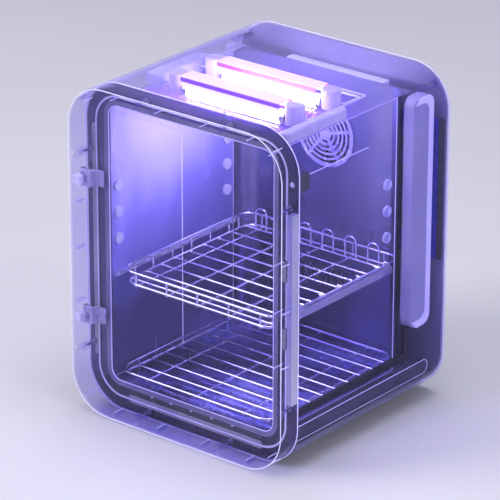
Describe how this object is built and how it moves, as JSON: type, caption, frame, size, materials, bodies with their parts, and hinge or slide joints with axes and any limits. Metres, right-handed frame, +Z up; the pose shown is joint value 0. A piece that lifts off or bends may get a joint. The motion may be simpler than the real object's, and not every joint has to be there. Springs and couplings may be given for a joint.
{
  "type": "bottle sterilizer",
  "caption": "Rounded upright cabinet steriliser for baby bottles: clear shell, hinged door with handle strip, wire racks, ultraviolet lamps above and a warm-air fan behind.",
  "frame": {"origin": "middle of the footprint, on the surface that the feet stand on", "axes": "+Z up, the door faces -Y, the hinge is on the -X side and the handle on the +X side"},
  "size_m": [0.306, 0.304, 0.4],
  "materials": {
    "shell": "clear lavender tint, glossy",
    "door": "clear lavender tint, glossy",
    "window": "clear toughened glass, polished",
    "rear_plastic": "fine-grained, satin",
    "frame_plastic": "satin",
    "inner_frame": "clear lavender tint, glossy",
    "chamber_clear": "clear violet tint, polished",
    "seal_grey": "soft, matt",
    "seal_black": "matt",
    "foot_rubber": "matt",
    "panel_black": "smooth, glossy",
    "key_white": "back-lit, smooth",
    "display": "smooth, glossy",
    "chamber_sheet": "bright rolled sheet",
    "grille": "bright stamped sheet",
    "rail_steel": "bright drawn steel",
    "peg_white": "smooth",
    "wire": "polished wire",
    "hinge_white": "smooth white enamel",
    "pin_steel": "ground steel",
    "screw_steel": "zinc-plated",
    "magnet": "nickel-plated block",
    "handle": "bright trim, smooth",
    "tube_glass": "clear quartz glass",
    "cap_metal": "drawn aluminium",
    "holder_white": "smooth white",
    "reflector": "white enamel, tinted by the lamps",
    "ballast_case": "moulded case",
    "channel_white": "moulded, satin",
    "harness": "insulated wire",
    "sensor": "moulded tip",
    "duct_plastic": "moulded, satin",
    "base_duct": "smoke-tinted, smooth",
    "fan_plastic": "glass-filled, matt",
    "heater_shell": "pressed sheet",
    "heater_core": "finned",
    "board_blue": "solder mask over glass-fibre board",
    "board_black": "moulded components",
    "inlet_black": "moulded, matt",
    "filter_foam": "open-cell foam",
    "switch_body": "moulded",
    "plunger": "smooth"
  },
  "bodies": {
    "cabinet": {"air_duct": "duct_plastic", "ballast": "ballast_case", "base_duct": "base_duct", "board_parts": "board_black", "cable_channel": "channel_white", "chamber_back_wall": "chamber_sheet", "chamber_ceiling": "chamber_clear", "chamber_floor": "chamber_sheet", "chamber_left_wall": "chamber_sheet", "chamber_right_wall": "chamber_clear", "control_board": "board_blue", "control_panel": "panel_black", "display_strip": "display", "door_gasket": "seal_grey", "door_switch": "switch_body", "edge_seal": "seal_black", "fan_frame": "fan_plastic", "fan_grille": "grille", "feet": "foot_rubber", "front_frame": "frame_plastic", "heater_fins": "heater_core", "heater_frame": "heater_shell", "hinge_bracket_lower": "hinge_white", "hinge_bracket_upper": "hinge_white", "lamp_caps": "cap_metal", "lamp_harness": "harness", "lamp_holders_front": "holder_white", "lamp_holders_rear": "holder_white", "outer_shell": "shell", "power_inlet": "inlet_black", "rack_pegs": "peg_white", "rack_rail_left": "rail_steel", "rack_rail_right": "rail_steel", "rear_cover": "rear_plastic", "rear_grip": "rear_plastic", "rear_screws": "screw_steel", "reflector_front": "reflector", "reflector_rear": "reflector", "side_duct_left": "duct_plastic", "side_duct_right": "duct_plastic", "striker_plates": "rail_steel", "temperature_sensor": "sensor", "touch_keys": "key_white", "uv_tube_front": "tube_glass", "uv_tube_rear": "tube_glass"},
    "door": {"door_front": "door", "door_inner_frame": "inner_frame", "door_window": "window", "door_handle": "handle", "hinge_leaf_upper": "hinge_white", "hinge_leaf_lower": "hinge_white", "hinge_pins": "pin_steel", "door_magnets": "magnet", "door_screws": "screw_steel"},
    "upper_rack": {"upper_rack": "wire"},
    "lower_rack": {"lower_rack": "wire"},
    "fan": {"fan_rotor": "fan_plastic"},
    "switch_plunger": {"switch_plunger": "plunger"},
    "filter": {"filter_cover": "rear_plastic", "filter_pad": "filter_foam"}
  },
  "joints": [
    {"name": "door_hinge", "type": "hinge", "parent": "cabinet", "child": "door", "pos_m": [-0.145, -0.134, 0.2], "axis": [0, 0, -1], "range_deg": [0, 105]},
    {"name": "upper_rack_slide", "type": "slide", "parent": "cabinet", "child": "upper_rack", "axis": [0, -1, 0], "range_m": [0, 0.012]},
    {"name": "lower_rack_slide", "type": "slide", "parent": "cabinet", "child": "lower_rack", "axis": [0, -1, 0], "range_m": [0, 0.004]},
    {"name": "fan_spin", "type": "hinge", "parent": "cabinet", "child": "fan", "pos_m": [0, 0.13, 0.2946], "axis": [0, 1, 0], "continuous": true},
    {"name": "switch_travel", "type": "slide", "parent": "cabinet", "child": "switch_plunger", "axis": [0, -1, 0], "range_m": [0, 0.003]},
    {"name": "filter_slide", "type": "slide", "parent": "cabinet", "child": "filter", "axis": [0, 1, 0], "range_m": [0, 0.03]}
  ],
  "couplings": [
    {"joint": "switch_travel", "follows": "door_hinge", "m_per_rad": 0.001637}
  ]
}
